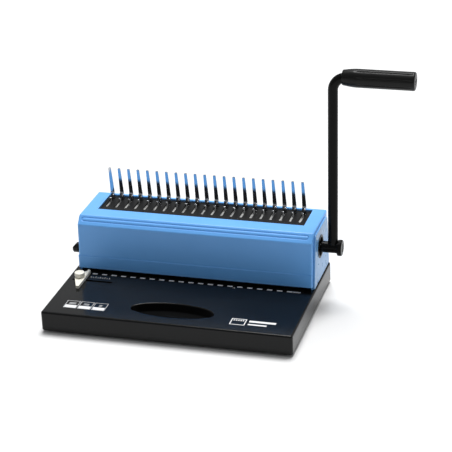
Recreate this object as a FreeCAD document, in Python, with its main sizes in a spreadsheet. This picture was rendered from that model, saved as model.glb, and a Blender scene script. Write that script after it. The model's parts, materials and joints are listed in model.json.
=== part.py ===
"""Manual comb binding machine, 21 holes: a parametric FreeCAD document.

Machine coordinates, in millimetres: x from the middle of the comb, positive to the lever side;
y from the front edge of the base, positive to the rear; z from the base's top surface, upward.
Every piece is modelled in them, and its Placement carries it to the part's own frame, whose
origin is the middle of the footprint on the table.
"""
import FreeCAD, Part
import math
import os
import re
import Sketcher
from FreeCAD import Placement, Rotation, Vector

os.makedirs("parts", exist_ok=True)
doc = FreeCAD.newDocument("comb_binder")

# ---------------------------------------------------------------- driving dimensions
DIMENSIONS = {
    # base
    "base_width": 355.0, "base_depth": 234.0, "base_wall": 28.3, "base_sheet": 1.6,
    "base_corner": 4.0, "base_edge": 1.8, "base_rim": 1.5, "rim_inset": 10.0,
    "foot_gap": 3.2, "foot_length": 1.8, "foot_radius": 8.0, "foot_x": 150.0, "foot_front": 24.0,
    "foot_back": 210.0, "plate_inset": 6.0,
    # finger recess in the base top
    "recess_half": 72.0, "recess_tip": 38.0, "recess_front": 18.0, "recess_back": 60.5,
    "recess_deep": 13.0, "recess_sheet": 1.5, "recess_round": 12.0,
    # comb: pitch, count, and the paper hole that a punch cuts
    "comb_pitch": 14.2875, "hole_count": 21, "hole_width": 8.0, "hole_depth": 2.8,
    "punch_line": 147.0, "slip": 0.3, "fit_gap": 0.06,
    # cover
    "cover_left": 168.3, "cover_right": 173.3, "cover_front": 133.9, "cover_back": 231.6,
    "cover_height": 82.2, "cover_wall": 2.2, "cover_lift": 0.4, "throat": 5.2,
    "band_top": 24.3, "band_step": 1.1, "crease_y": 137.0, "crease_z": 71.0, "bevel_y": 148.0,
    "cover_round": 2.0, "cheek_sheet": 2.7, "hub_window": 14.5,
    "window_left": 148.4, "window_right": 154.5, "window_front": 171.2, "window_back": 225.4,
    # comb plate, hooks and tines
    "plate_half": 160.0, "plate_top": 78.5, "plate_front": 168.5, "plate_back": 228.6, "plate_sheet": 1.5,
    "finger_x": 1.25, "slot_width": 4.4, "slot_front": 186.0, "slot_back": 211.5,
    "tine_y": 217.0, "tine_sheet": 1.6, "tine_width": 6.0, "tine_tip": 3.4, "tab_top": 90.0,
    "tine_top": 127.4, "tine_foot": 66.0, "rail_sheet": 2.0, "rail_foot": 58.0,
    "hook_stroke": 17.0, "hook_bar_back": 213.5, "hook_bar_front": 203.0, "hook_tip": 189.0,
    "hook_half": 156.0, "hook_rise": 5.5, "hook_width": 3.0, "hook_sheet": 2.2,
    # drive
    "shaft_y": 178.0, "shaft_z": 49.5, "shaft_radius": 4.0, "lever_swing": 75.0,
    "punch_stroke": 12.0, "pin_radius": 2.5, "crank_radius": 17.5, "crank_x": 149.0,
    "crank_sheet": 3.0, "lane_gap": 0.6, "yoke_sheet": 3.2, "fork_gap": 6.2,
    "bar_low": 40.0, "bar_high": 52.0, "bar_front": 141.5, "bar_back": 152.5, "bar_half": 156.4,
    "post_x": 152.2, "post_radius": 2.5, "post_top": 57.0, "wire_radius": 0.55,
    "spring_radius": 3.55, "spring_turns": 7.0,
    "frame_half": 157.0, "frame_sheet": 3.0, "frame_back": 222.0, "bush_radius": 7.0,
    "guide_low": 5.4, "guide_high": 12.0, "guide_front": 141.0, "guide_back": 153.0,
    "die_sheet": 4.0,
    # lever
    "lever_x": 193.6, "lever_height": 246.9, "lever_lean": 2.6, "tube_radius": 6.9,
    "bend_radius": 18.5, "hub_radius": 8.0, "hub_start": 177.5, "hub_end": 201.3,
    "cap_radius": 10.5, "cap_length": 7.0,
    "grip_start": 207.0, "right_reach": 305.6, "grip_radius": 12.8, "grip_neck": 10.6,
    "grip_taper": 20.0, "grip_bore": 62.0, "plug_radius": 4.2, "plug_length": 3.0,
    # edge guide
    "guide_slot_y": 105.0, "guide_slot_left": 169.2, "guide_slot_right": 109.3,
    "guide_slot_width": 4.6, "knob_x": 157.5, "stud_radius": 2.0, "guide_thick": 4.8,
    "guide_knob_radius": 6.8, "guide_knob_length": 6.2,
    # margin setting
    "margin_y": 150.0, "margin_z": 29.0, "margin_throw": 1.2, "margin_radius": 3.0,
    "eccentric_radius": 5.0, "left_reach": 181.0, "margin_knob_radius": 7.0,
    "stop_front": 151.8, "stop_back": 163.0,
    # chip drawer
    "drawer_front": 128.0, "drawer_back": 166.0, "drawer_low": 25.5, "drawer_high": 8.0,
    "drawer_end": 150.0, "drawer_sheet": 1.5,
    # screws
    "screw_radius": 2.0, "head_radius": 3.6, "head_height": 1.8,
}

sheet = doc.addObject("Spreadsheet::Sheet", "Dims")
for row, (name, value) in enumerate(DIMENSIONS.items(), start=1):
    sheet.set(f"A{row}", name)
    sheet.set(f"B{row}", str(value))
    sheet.setAlias(f"B{row}", name)
doc.recompute()

WORD = re.compile(r"[A-Za-z_]\w*")
AXIS_TURN = {"X": Rotation(Vector(0, 1, 0), 90), "Y": Rotation(Vector(1, 0, 0), -90), "Z": Rotation()}
SIDES = {"left": -1, "right": 1}
FIRST_HOLE = "-comb_pitch * (hole_count - 1) / 2"
CORNERS = [(x, y) for x in ("-foot_x", "foot_x") for y in ("foot_front", "foot_back")]
pieces = []


# ---------------------------------------------------------------- helpers
def bound(text):
    """The expression with each dimension's name turned into a reference to its cell."""
    return WORD.sub(lambda m: f"Dims.{m.group()}" if m.group() in DIMENSIONS else m.group(), str(text))


def number(text):
    """The number that an expression of dimension names stands for."""
    result = sheet.evalExpression(bound(text))
    return float(getattr(result, "Value", result))


def bind(thing, name, text):
    thing.setExpression(name, bound(text))


def put(piece, at=("0", "0", "0"), lean=False):
    """Carry a piece from machine coordinates to the part's frame, leaned back with the lever if asked."""
    if lean:
        piece.Placement = Placement(Vector(), Rotation(Vector(1, 0, 0), -number("lever_lean")))
    bind(piece, "Placement.Base.x", f"{at[0]} - (right_reach - left_reach) / 2")
    bind(piece, "Placement.Base.y", f"{at[1]} - base_depth / 2")
    bind(piece, "Placement.Base.z", f"{at[2]} + base_wall + foot_gap")
    pieces.append(piece)
    return piece


def new_body(label, at=("0", "0", "0"), lean=False):
    piece = doc.addObject("PartDesign::Body", label)
    piece.Label = label
    return put(piece, at, lean)


def settle(piece, feature, cut):
    """Make a new feature the body's tip, and make sure that it added or removed material."""
    before = piece.Shape.Volume if not piece.Shape.isNull() else 0.0
    piece.Tip = feature
    doc.recompute()
    change = piece.Shape.Volume - before
    if abs(change) < 1e-3 or (change < 0) != cut:
        raise RuntimeError(f"{piece.Label}: {feature.Label} changed the volume by {change:.3f}")
    return feature


def block(piece, low, high, cut=False):
    """A box between two corners."""
    kind = "PartDesign::SubtractiveBox" if cut else "PartDesign::AdditiveBox"
    feature = piece.newObject(kind, "Block")
    for name, start, end in zip(("Length", "Width", "Height"), low, high):
        bind(feature, name, f"({end}) - ({start})")
    for name, start in zip("xyz", low):
        bind(feature, f"Placement.Base.{name}", start)
    return settle(piece, feature, cut)


def rod(piece, axis, start, radius, length, cut=False):
    """A cylinder from a point along an axis."""
    kind = "PartDesign::SubtractiveCylinder" if cut else "PartDesign::AdditiveCylinder"
    feature = piece.newObject(kind, "Rod")
    feature.Placement = Placement(Vector(), AXIS_TURN[axis])
    bind(feature, "Radius", radius)
    bind(feature, "Height", length)
    for name, value in zip("xyz", start):
        bind(feature, f"Placement.Base.{name}", value)
    return settle(piece, feature, cut)


def row(piece, feature, cut=False):
    """Repeat a feature once for each hole of the comb."""
    pattern = piece.newObject("PartDesign::LinearPattern", "Row")
    pattern.Originals = [feature]
    direction = next(f for f in piece.Origin.OriginFeatures if f.Role == "X_Axis")
    pattern.Direction = (direction, [""])
    bind(pattern, "Length", "comb_pitch * (hole_count - 1)")
    bind(pattern, "Occurrences", "hole_count")
    return settle(piece, pattern, cut)


def new_sketch(piece, role, offset="0"):
    sketch = piece.newObject("Sketcher::SketchObject", "Sketch")
    plane = next(f for f in piece.Origin.OriginFeatures if f.Role == role)
    sketch.AttachmentSupport = [(plane, "")]
    sketch.MapMode = "FlatFace"
    bind(sketch, "AttachmentOffset.Base.z", offset)
    return sketch


def pin_point(sketch, edge, end, place):
    """Hold an end of an edge at a place given as two expressions."""
    for kind, text, axis in zip(("DistanceX", "DistanceY"), place, (-2, -1)):
        value = number(text)
        if abs(value) < 1e-9:
            sketch.addConstraint(Sketcher.Constraint("PointOnObject", edge, end, axis))
            continue
        ends = (-1, 1, edge, end) if value > 0 else (edge, end, -1, 1)
        index = sketch.addConstraint(Sketcher.Constraint(kind, *ends, abs(value)))
        bind(sketch, f"Constraints[{index}]", text if value > 0 else f"-({text})")


def outline(piece, role, offset, points):
    """A closed straight-sided sketch on an origin plane of the body."""
    sketch = new_sketch(piece, role, offset)
    spots = [Vector(number(a), number(b), 0) for a, b in points]
    for start, end in zip(spots, spots[1:] + spots[:1]):
        sketch.addGeometry(Part.LineSegment(start, end))
    for index, place in enumerate(points):
        following = (index + 1) % len(points)
        sketch.addConstraint(Sketcher.Constraint("Coincident", index, 2, following, 1))
        pin_point(sketch, index, 1, place)
    return sketch


def lens(piece, offset, grow):
    """The finger recess's outline: two arcs between two tips, grown outwards by an amount."""
    sketch = new_sketch(piece, "XY_Plane", offset)
    half = f"recess_half + {grow}"
    for edge, apex, rise in ((0, f"recess_back + {grow}", f"recess_back + {grow} - recess_tip"),
                             (1, f"recess_front - {grow}", f"recess_tip - recess_front + {grow}")):
        tip_x, tip_y = number(half), number("recess_tip")
        sketch.addGeometry(Part.Arc(Vector(tip_x, tip_y, 0), Vector(0, number(apex), 0),
                                    Vector(-tip_x, tip_y, 0)))
        radius = f"(({half}) * ({half}) + ({rise}) * ({rise})) / (2 * ({rise}))"
        index = sketch.addConstraint(Sketcher.Constraint("Radius", edge, number(radius)))
        bind(sketch, f"Constraints[{index}]", radius)
    right = [1 if sketch.getPoint(edge, 1).x > 0 else 2 for edge in (0, 1)]
    for end in ("right", "left"):
        near, far = (right if end == "right" else [3 - e for e in right])
        sketch.addConstraint(Sketcher.Constraint("Coincident", 0, near, 1, far))
        pin_point(sketch, 0, near, (half if end == "right" else f"-({half})", "recess_tip"))
    return sketch


def round_tips(piece, half, cut):
    """Round the two tips of a lens-shaped outline."""
    far = number(half)
    round_edges(piece, "recess_round", lambda e: runs_along(e, "Z") and abs(abs(e.Vertexes[0].X) - far) < 1e-6
                and abs(e.Vertexes[0].Y - number("recess_tip")) < 1e-6, cut)


def prism(piece, sketch, length, cut=False):
    """Pad a sketch along its normal, or pocket it the other way."""
    feature = piece.newObject("PartDesign::Pocket" if cut else "PartDesign::Pad", "Prism")
    feature.Profile = sketch
    bind(feature, "Length", length)
    return settle(piece, feature, cut)


def round_edges(piece, radius, chosen, cut=True):
    """Round the edges that a test picks."""
    base = piece.Tip
    names = [f"Edge{i}" for i, edge in enumerate(base.Shape.Edges, start=1) if chosen(edge)]
    feature = piece.newObject("PartDesign::Fillet", "Round")
    feature.Base = (base, names)
    bind(feature, "Radius", radius)
    return settle(piece, feature, cut)


def runs_along(edge, axis):
    """Whether an edge is straight and parallel to an axis."""
    start, end = edge.Vertexes[0].Point, edge.Vertexes[-1].Point
    across = [abs(end[i] - start[i]) for i in range(3) if i != "XYZ".index(axis)]
    return len(edge.Vertexes) == 2 and isinstance(edge.Curve, Part.Line) and max(across) < 1e-6


def at_height(edge, z):
    return all(abs(vertex.Z - z) < 1e-6 for vertex in edge.Vertexes)


def group(label, kind, sizes, places, axis="Z"):
    """Identical separate solids, as one named piece."""
    members = []
    for place in places:
        member = doc.addObject(kind, f"{label}_member")
        member.Placement = Placement(Vector(), AXIS_TURN[axis])
        for name, value in sizes.items():
            bind(member, name, value)
        for name, value in zip("xyz", place):
            bind(member, f"Placement.Base.{name}", value)
        members.append(member)
    compound = doc.addObject("Part::Compound", label)
    compound.Label = label
    compound.Links = members
    return put(compound)


def comb_row(label, sizes, x, y, z):
    """A row of separate upright bars, one for each hole, its low corner at a place from the hole."""
    return group(label, "Part::Box", dict(zip(("Length", "Width", "Height"), sizes)),
                 [(f"{FIRST_HOLE} + {i} * comb_pitch + {x}", y, z) for i in range(DIMENSIONS["hole_count"])])


def screws(label, places, axis="Z", flip=False, shank=8.0):
    """Pan-head screws: a head and a shank each, the head's inner face at the place."""
    members = []
    turn = Rotation(AXIS_TURN[axis].multiply(Rotation(Vector(1, 0, 0), 180 if flip else 0)))
    for place in places:
        parts = []
        for radius, length, start in (("head_radius", "head_height", 0), ("screw_radius", shank, -shank)):
            cylinder = doc.addObject("Part::Cylinder", f"{label}_member")
            bind(cylinder, "Radius", radius)
            bind(cylinder, "Height", length)
            cylinder.Placement = Placement(turn.multVec(Vector(0, 0, start)), turn)
            offset = turn.multVec(Vector(0, 0, start))
            for name, value, shift in zip("xyz", place, offset):
                bind(cylinder, f"Placement.Base.{name}", f"{value} + {shift}")
            parts.append(cylinder)
        screw = doc.addObject("Part::Fuse", f"{label}_screw")
        screw.Base, screw.Tool = parts
        members.append(screw)
    compound = doc.addObject("Part::Compound", label)
    compound.Label = label
    compound.Links = members
    return put(compound)


def across(side, inner, outer):
    """The low and high x of something between two distances from the middle, on one side."""
    return (f"-({outer})", f"-({inner})") if SIDES[side] < 0 else (inner, outer)


# ---------------------------------------------------------------- base
def make_base_shell():
    shell = new_body("base_shell")
    half = "base_width / 2"
    block(shell, (f"-{half}", "0", "-base_wall"), (half, "base_depth", "0"))
    round_edges(shell, "base_corner", lambda e: runs_along(e, "Z"))
    round_edges(shell, "base_edge", lambda e: at_height(e, 0.0))
    block(shell, (f"-{half} + base_sheet", "base_sheet", "-base_wall + base_rim"),
          (f"{half} - base_sheet", "base_depth - base_sheet", "-base_sheet"), cut=True)
    block(shell, (f"-{half} + rim_inset", "rim_inset", "-base_wall - 1"),
          (f"{half} - rim_inset", "base_depth - rim_inset", "-base_wall + base_rim"), cut=True)
    for x, y in CORNERS:
        rod(shell, "Z", (f"{x} * 0.8", y, "-base_wall"), "screw_radius + 3", "base_wall - base_sheet / 2")
    block(shell, ("-frame_half + 4", "guide_front + slip / 2", "-base_sheet - 1"),
          ("frame_half - 4", "guide_back - slip / 2", "1"), cut=True)
    slot_half = "guide_slot_width / 2"
    block(shell, (f"-guide_slot_left + {slot_half}", f"guide_slot_y - {slot_half}", "-base_sheet - 1"),
          (f"-guide_slot_right - {slot_half}", f"guide_slot_y + {slot_half}", "1"), cut=True)
    for end in (f"-guide_slot_left + {slot_half}", f"-guide_slot_right - {slot_half}"):
        rod(shell, "Z", (end, "guide_slot_y", "-base_sheet - 1"), slot_half, "base_sheet + 2", cut=True)
    prism(shell, lens(shell, "1", "0"), "base_sheet + 2", cut=True)
    round_tips(shell, "recess_half", cut=False)
    block(shell, (f"-{half} - 1", "drawer_front - 2 * slip", "-drawer_low - slip"),
          (f"-{half} + base_sheet + 1", "drawer_back + 2 * slip", "-drawer_high + 2 * slip"), cut=True)


def make_recess_cup():
    cup = new_body("recess_cup")
    prism(cup, lens(cup, "-recess_deep - recess_sheet", "recess_sheet"),
          "recess_deep + recess_sheet - base_sheet")
    prism(cup, lens(cup, "0", "0"), "recess_deep", cut=True)
    round_tips(cup, "recess_half", cut=False)
    round_tips(cup, "recess_half + recess_sheet", cut=True)


def make_bottom():
    plate = new_body("bottom_plate")
    half = "base_width / 2 - plate_inset"
    low = "foot_length - foot_gap - base_wall"
    block(plate, (f"-({half})", "plate_inset", low), (half, "base_depth - plate_inset", "-base_wall"))
    round_edges(plate, "base_corner", lambda e: runs_along(e, "Z"))
    group("rubber_feet", "Part::Cone",
          {"Radius1": "foot_radius - 1", "Radius2": "foot_radius", "Height": "foot_length"},
          [(x, y, "-foot_gap - base_wall") for x, y in CORNERS])
    screws("base_screws", [(f"{x} * 0.8", f"{y}", f"{low}") for x, y in CORNERS], flip=True, shank=4.0)


def make_drawer():
    drawer = new_body("chip_drawer")
    half, wall = "base_width / 2", "drawer_sheet"
    block(drawer, (f"-{half}", "drawer_front", "-drawer_low"), ("drawer_end", "drawer_back", "-drawer_high"))
    block(drawer, (f"-{half} + 2 * {wall}", f"drawer_front + {wall}", f"-drawer_low + {wall}"),
          (f"drawer_end - {wall}", f"drawer_back - {wall}", "1"), cut=True)
    block(drawer, (f"-{half} - 3.5", "drawer_front + 12", "-16"), (f"-{half}", "drawer_back - 12", "-13"))
    for label, edge, out, inn in (("front", "drawer_front", -1, 1), ("rear", "drawer_back", 1, -1)):
        rail = new_body(f"drawer_rail_{label}")
        near, far, foot = (f"{edge} + {out * 0.4}", f"{edge} + {out * 2.9}", f"{edge} + {inn * 6}")
        wall_low, wall_high = (far, near) if out < 0 else (near, far)
        foot_low, foot_high = (near, foot) if inn > 0 else (foot, near)
        block(rail, ("-base_width / 2 + rim_inset + 2", wall_low, "-base_wall"),
              ("drawer_end + 10", wall_high, "-drawer_high - 6"))
        block(rail, ("-base_width / 2 + rim_inset + 2", foot_low, "-base_wall"),
              ("drawer_end + 10", foot_high, "-drawer_low - slip"))


# ---------------------------------------------------------------- punching unit
def punch_holes(piece, low, high):
    """A row of rectangular holes that the punches pass through."""
    first = block(piece, (f"{FIRST_HOLE} - hole_width / 2 - slip", "punch_line - hole_depth / 2 - slip", low),
                  (f"{FIRST_HOLE} + hole_width / 2 + slip", "punch_line + hole_depth / 2 + slip", high),
                  cut=True)
    row(piece, first, cut=True)


def make_die_and_guide():
    die = new_body("die_plate")
    block(die, ("-frame_half + 4 + slip", "guide_front + slip", "-die_sheet"),
          ("frame_half - 4 - slip", "guide_back - slip", "0"))
    block(die, ("-frame_half", "guide_front - 4", "-die_sheet"),
          ("frame_half", "guide_back + 4", "-base_sheet"))
    punch_holes(die, "-die_sheet - 1", "1")
    guide = new_body("guide_block")
    block(guide, ("-frame_half", "guide_front", "guide_low"), ("frame_half", "guide_back", "guide_high"))
    punch_holes(guide, "guide_low - 1", "guide_high + 1")


def make_frames():
    for side in SIDES:
        frame = new_body(f"side_frame_{side}")
        low, high = across(side, "frame_half", "frame_half + frame_sheet")
        sketch = outline(frame, "YZ_Plane", low, [
            ("stop_back + 6", "0"), ("frame_back", "0"), ("frame_back", "plate_top"),
            ("bevel_y + 7", "plate_top"), ("guide_front", "crease_z - 6"), ("guide_front", "guide_low + 0.2"),
            ("stop_back + 6", "guide_low + 0.2")])
        prism(frame, sketch, "frame_sheet")
        foot_low, foot_high = across(side, "frame_half - 13", "frame_half")
        block(frame, (foot_low, "shaft_y + 8", "0"), (foot_high, "frame_back - 6", "2.5"))
        rod(frame, "X", (f"{low} - 1", "shaft_y", "shaft_z"), "bush_radius", "frame_sheet + 2", cut=True)
        if side == "left":
            rod(frame, "X", (f"{low} - 1", "margin_y", "margin_z"), "margin_radius + fit_gap",
                "frame_sheet + 2", cut=True)
        bush = new_body(f"shaft_bush_{side}")
        rod(bush, "X", (low, "shaft_y", "shaft_z"), "bush_radius", "frame_sheet")
        flange = f"{low} - 1.5" if side == "left" else high
        rod(bush, "X", (flange, "shaft_y", "shaft_z"), "bush_radius + 2", "1.5")
        rod(bush, "X", (f"{low} - 5", "shaft_y", "shaft_z"), "shaft_radius + fit_gap",
            "frame_sheet + 10", cut=True)
    screws("frame_screws", [(x, y, "2.5") for x in ("-frame_half + 6.5", "frame_half - 6.5")
                            for y in ("shaft_y + 15", "frame_back - 12")], shank=6.0)
    group("guide_screws", "Part::Cylinder", {"Radius": "1.6", "Height": "12"},
          [(x, y, "guide_low + 3.3") for x in ("-frame_half - frame_sheet", "frame_half + frame_sheet - 12")
           for y in ("guide_front + 2", "guide_back - 2")], axis="X")
    bracket = new_body("rear_bracket")
    inner = "cover_back - cover_wall"
    block(bracket, ("-frame_half + 15", f"{inner} - 2", "0"), ("frame_half - 15", inner, "20"))
    block(bracket, ("-frame_half + 15", f"{inner} - 14", "0"), ("frame_half - 15", inner, "2"))


def make_punch_bar():
    bar = new_body("punch_bar")
    block(bar, ("-bar_half", "bar_front", "bar_low"), ("bar_half", "bar_back", "bar_high"))
    for side in SIDES:
        x = f"{SIDES[side]} * post_x"
        rod(bar, "Z", (x, "punch_line", "bar_low - 1"), "post_radius + fit_gap",
            "bar_high - bar_low + 2", cut=True)
    tip = "guide_low + 1.1"
    comb_row("punches", ("hole_width", "hole_depth", f"bar_low - ({tip})"), "-hole_width / 2",
             "punch_line - hole_depth / 2", tip)
    for side in SIDES:
        x = f"{SIDES[side]} * post_x"
        post = new_body(f"guide_post_{side}")
        rod(post, "Z", (x, "punch_line", "guide_high"), "post_radius", "post_top - guide_high")
        round_edges(post, "0.8", lambda e: at_height(e, number("post_top")))
        make_spring(side, x)


def make_spring(side, x):
    """A return spring round a guide post, from the guide block up to the punch bar."""
    label = f"return_spring_{side}"
    clear = "wire_radius + 0.1"
    helix = doc.addObject("Part::Helix", f"{label}_line")
    bind(helix, "Radius", "spring_radius")
    bind(helix, "Height", f"bar_low - guide_high - 2 * ({clear})")
    bind(helix, "Pitch", f"(bar_low - guide_high - 2 * ({clear})) / spring_turns")
    wire = doc.addObject("Part::Circle", f"{label}_wire")
    bind(wire, "Radius", "wire_radius")
    wire.Placement = Placement(Vector(), AXIS_TURN["Y"])
    bind(wire, "Placement.Base.x", "spring_radius")
    doc.recompute()
    coil = doc.addObject("Part::Sweep", label)
    coil.Label = label
    coil.Sections = [wire]
    coil.Spine = (helix, [f"Edge{i}" for i in range(1, len(helix.Shape.Edges) + 1)])
    coil.Solid = True
    coil.Frenet = True
    put(coil, (x, "punch_line", f"guide_high + {clear}"))


def make_punch_yokes():
    """Forks behind the punch bar: the crank pins carry them down and up."""
    pin_z = "shaft_z + punch_stroke / (2 * sin(lever_swing / 2 * 1 deg)) * sin(lever_swing / 2 * 1 deg)"
    mouth = "shaft_y - shaft_radius - 0.6"
    floor = f"{mouth} - 8.3"
    top, bottom = f"{pin_z} + fork_gap / 2", f"{pin_z} - fork_gap / 2"
    for side in SIDES:
        yoke = new_body(f"punch_yoke_{side}")
        low, high = across(side, "crank_x - lane_gap - yoke_sheet", "crank_x - lane_gap")
        sketch = outline(yoke, "YZ_Plane", low, [
            ("bar_back", "bar_low + 4"), (f"{mouth} - 10", "bar_low + 4"), (mouth, f"{bottom} - 4.4"),
            (mouth, bottom), (floor, bottom), (floor, top), (mouth, top), (mouth, f"{top} + 4"),
            ("bar_back", f"{top} + 4")])
        prism(yoke, sketch, "yoke_sheet")


# ---------------------------------------------------------------- drive and lever
def make_drive():
    shaft = new_body("main_shaft")
    start, end = "-frame_half - frame_sheet - 4", "hub_end - 1.5"
    rod(shaft, "X", (start, "shaft_y", "shaft_z"), "shaft_radius", f"{end} - ({start})")
    clip = new_body("retaining_clip")
    rod(clip, "X", ("-frame_half - frame_sheet - 2.9", "shaft_y", "shaft_z"), "shaft_radius + 3", "1.1")
    rod(clip, "X", ("-frame_half - frame_sheet - 4", "shaft_y", "shaft_z"), "shaft_radius", "4", cut=True)
    half_swing = "lever_swing / 2 * 1 deg"
    punch_arm = f"punch_stroke / (2 * sin({half_swing}))"
    hook_arm = f"hook_stroke / (2 * sin({half_swing}))"
    punch_pin = (f"shaft_y - {punch_arm} * cos({half_swing})", "shaft_z + punch_stroke / 2")
    hook_pin = ("shaft_y + hook_stroke / 2", f"shaft_z + {hook_arm} * cos({half_swing})")
    for side in SIDES:
        crank = new_body(f"drive_crank_{side}")
        low, high = across(side, "crank_x", "crank_x + crank_sheet")
        rod(crank, "X", (low, "shaft_y", "shaft_z"), "crank_radius", "crank_sheet")
        rod(crank, "X", (f"{low} - 1", "shaft_y", "shaft_z"), "shaft_radius", "crank_sheet + 2", cut=True)
        inner, _ = across(side, "crank_x - yoke_sheet - lane_gap", "crank_x")
        rod(crank, "X", (inner, *punch_pin), "pin_radius", "yoke_sheet + lane_gap")
        outer, _ = across(side, "crank_x + crank_sheet", "crank_x + crank_sheet + yoke_sheet + lane_gap")
        rod(crank, "X", (outer, *hook_pin), "pin_radius", "yoke_sheet + lane_gap")


def make_lever():
    hub = new_body("lever_hub")
    rod(hub, "X", ("hub_start", "shaft_y", "shaft_z"), "hub_radius", "hub_end - hub_start")
    rod(hub, "X", ("hub_start - 1", "shaft_y", "shaft_z"), "shaft_radius",
        "hub_end - hub_start - 0.5", cut=True)
    cap = new_body("lever_end_cap")
    rod(cap, "X", ("hub_end", "shaft_y", "shaft_z"), "cap_radius", "cap_length")
    round_edges(cap, "1.2", lambda e: len(e.Vertexes) == 1)
    arm = new_body("lever_arm", ("lever_x", "shaft_y", "shaft_z"), lean=True)
    profile = new_sketch(arm, "XY_Plane", "tube_radius - 0.5")
    profile.addGeometry(Part.Circle(Vector(), Vector(0, 0, 1), number("tube_radius")))
    profile.addConstraint(Sketcher.Constraint("Coincident", 0, 3, -1, 1))
    ring = profile.addConstraint(Sketcher.Constraint("Radius", 0, number("tube_radius")))
    bind(profile, f"Constraints[{ring}]", "tube_radius")
    path = new_sketch(arm, "XZ_Plane")
    reach = number("grip_start + grip_bore - 2 - lever_x")
    height, bend = number("lever_height"), number("bend_radius")
    low = number("tube_radius - 0.5")
    path.addGeometry(Part.LineSegment(Vector(0, low, 0), Vector(0, height - bend, 0)))
    corner = Part.Circle(Vector(bend, height - bend, 0), Vector(0, 0, 1), bend)
    path.addGeometry(Part.ArcOfCircle(corner, math.pi / 2, math.pi))
    path.addGeometry(Part.LineSegment(Vector(bend, height, 0), Vector(reach, height, 0)))
    path.addConstraint(Sketcher.Constraint("Tangent", 0, 2, 1, 2))
    path.addConstraint(Sketcher.Constraint("Tangent", 1, 1, 2, 1))
    path.addConstraint(Sketcher.Constraint("Vertical", 0))
    turn = path.addConstraint(Sketcher.Constraint("Radius", 1, bend))
    bind(path, f"Constraints[{turn}]", "bend_radius")
    pin_point(path, 0, 1, ("0", "tube_radius - 0.5"))
    pin_point(path, 2, 2, ("grip_start + grip_bore - 2 - lever_x", "lever_height"))
    doc.recompute()
    pipe = arm.newObject("PartDesign::AdditivePipe", "Tube")
    pipe.Profile = profile
    pipe.Spine = (path, [f"Edge{i}" for i in range(1, len(path.Shape.Edges) + 1)])
    settle(arm, pipe, cut=False)


def make_grip():
    top = ("0", "shaft_y + lever_height * sin(lever_lean * 1 deg)",
           "shaft_z + lever_height * cos(lever_lean * 1 deg)")
    grip = new_body("handle_grip", top, lean=True)
    sketch = outline(grip, "XZ_Plane", "0", [
        ("grip_start", "tube_radius"), ("grip_start", "grip_neck"),
        ("grip_start + grip_taper", "grip_radius"),
        ("right_reach", "grip_radius"), ("right_reach", "plug_radius"),
        ("right_reach - plug_length", "plug_radius"), ("right_reach - plug_length", "0"),
        ("grip_start + grip_bore", "0"), ("grip_start + grip_bore", "tube_radius")])
    turned = grip.newObject("PartDesign::Revolution", "Turned")
    turned.Profile = sketch
    turned.ReferenceAxis = (sketch, ["H_Axis"])
    turned.Angle = 360
    settle(grip, turned, cut=False)
    end = number("right_reach")
    round_edges(grip, "2", lambda e: all(abs(v.X - end) < 1e-6 for v in e.Vertexes)
                and e.BoundBox.ZLength > 3 * number("plug_radius"))
    plug = new_body("grip_plug", top, lean=True)
    rod(plug, "X", ("right_reach - plug_length", "0", "0"), "plug_radius", "plug_length - 0.4")


# ---------------------------------------------------------------- comb opening unit
def make_comb_plate():
    plate = new_body("comb_plate")
    block(plate, ("-plate_half", "plate_front", "plate_top"),
          ("plate_half", "plate_back", "plate_top + plate_sheet"))
    centre = f"{FIRST_HOLE} + finger_x"
    for half, front, back in (("slot_width / 2", "slot_front", "slot_back"),
                              ("tine_width / 2 + 0.5", "tine_y - rail_sheet - 0.8",
                               "tine_y + tine_sheet + 0.8")):
        first = block(plate, (f"{centre} - ({half})", front, "plate_top - 1"),
                      (f"{centre} + {half}", back, "plate_top + plate_sheet + 1"), cut=True)
        row(plate, first, cut=True)


def make_tines():
    rail = new_body("tine_rail")
    front = "tine_y - rail_sheet"
    block(rail, ("-frame_half", front, "rail_foot"), ("frame_half", "tine_y", "plate_top - 0.4"))
    centre = f"{FIRST_HOLE} + finger_x"
    comb_row("tine_tabs", ("tine_width", "rail_sheet", "tab_top - plate_top + 0.4"),
             "finger_x - tine_width / 2", front, "plate_top - 0.4")
    tines = new_body("tines")
    tines.AllowCompound = True
    left, right = f"{centre} - tine_width / 2", f"{centre} + tine_width / 2"
    blade = outline(tines, "XZ_Plane", "-tine_y - tine_sheet", [
        (left, "tine_foot"), (right, "tine_foot"), (right, "tab_top"), (f"{left} + tine_tip", "tine_top - 1"),
        (f"{left} + tine_tip - 0.8", "tine_top"), (f"{left} + 0.8", "tine_top"), (left, "tine_top - 1")])
    row(tines, prism(tines, blade, "tine_sheet"))


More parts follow.
